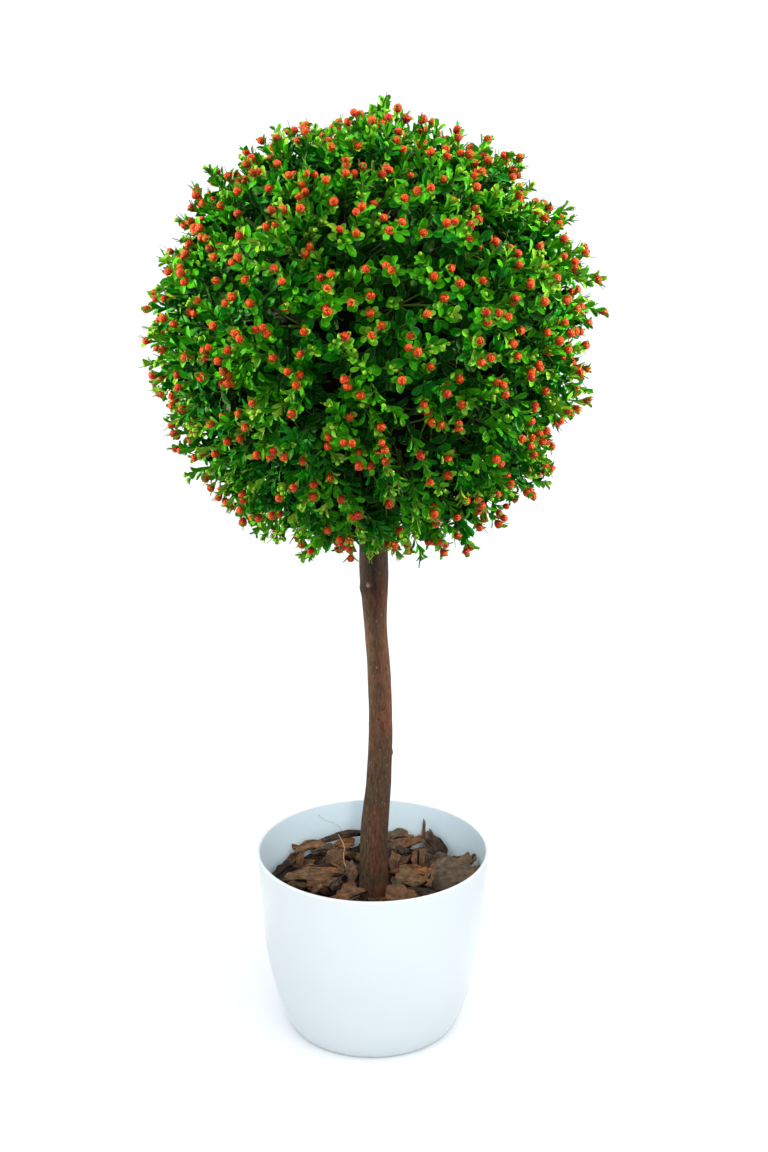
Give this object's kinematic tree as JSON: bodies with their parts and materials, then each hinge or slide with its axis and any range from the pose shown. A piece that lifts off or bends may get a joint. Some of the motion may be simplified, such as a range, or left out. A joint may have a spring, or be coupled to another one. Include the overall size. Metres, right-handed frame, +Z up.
{
  "type": "artificial ball topiary with berries in a planter",
  "caption": "Artificial lollipop topiary: a clipped ball of berried boxwood sprays on a natural wood trunk, standing in a round white planter with bark chips.",
  "frame": {"origin": "middle of the planter's flat underside", "axes": "+Z up along the planter's axis, +X to the viewer's right, +Y away from the viewer who faces the front"},
  "size_m": [0.4721, 0.4746, 1.0216],
  "materials": {
    "pot": "satin",
    "cement": "matte",
    "bark": "matte",
    "trunk": "matte",
    "foliage": "satin"
  },
  "bodies": {
    "root": {"pot": "pot", "cement_plug": "cement", "bark_bed": "bark", "trunk": "trunk", "foliage_upper": "foliage", "foliage_lower": "foliage"}
  },
  "joints": []
}
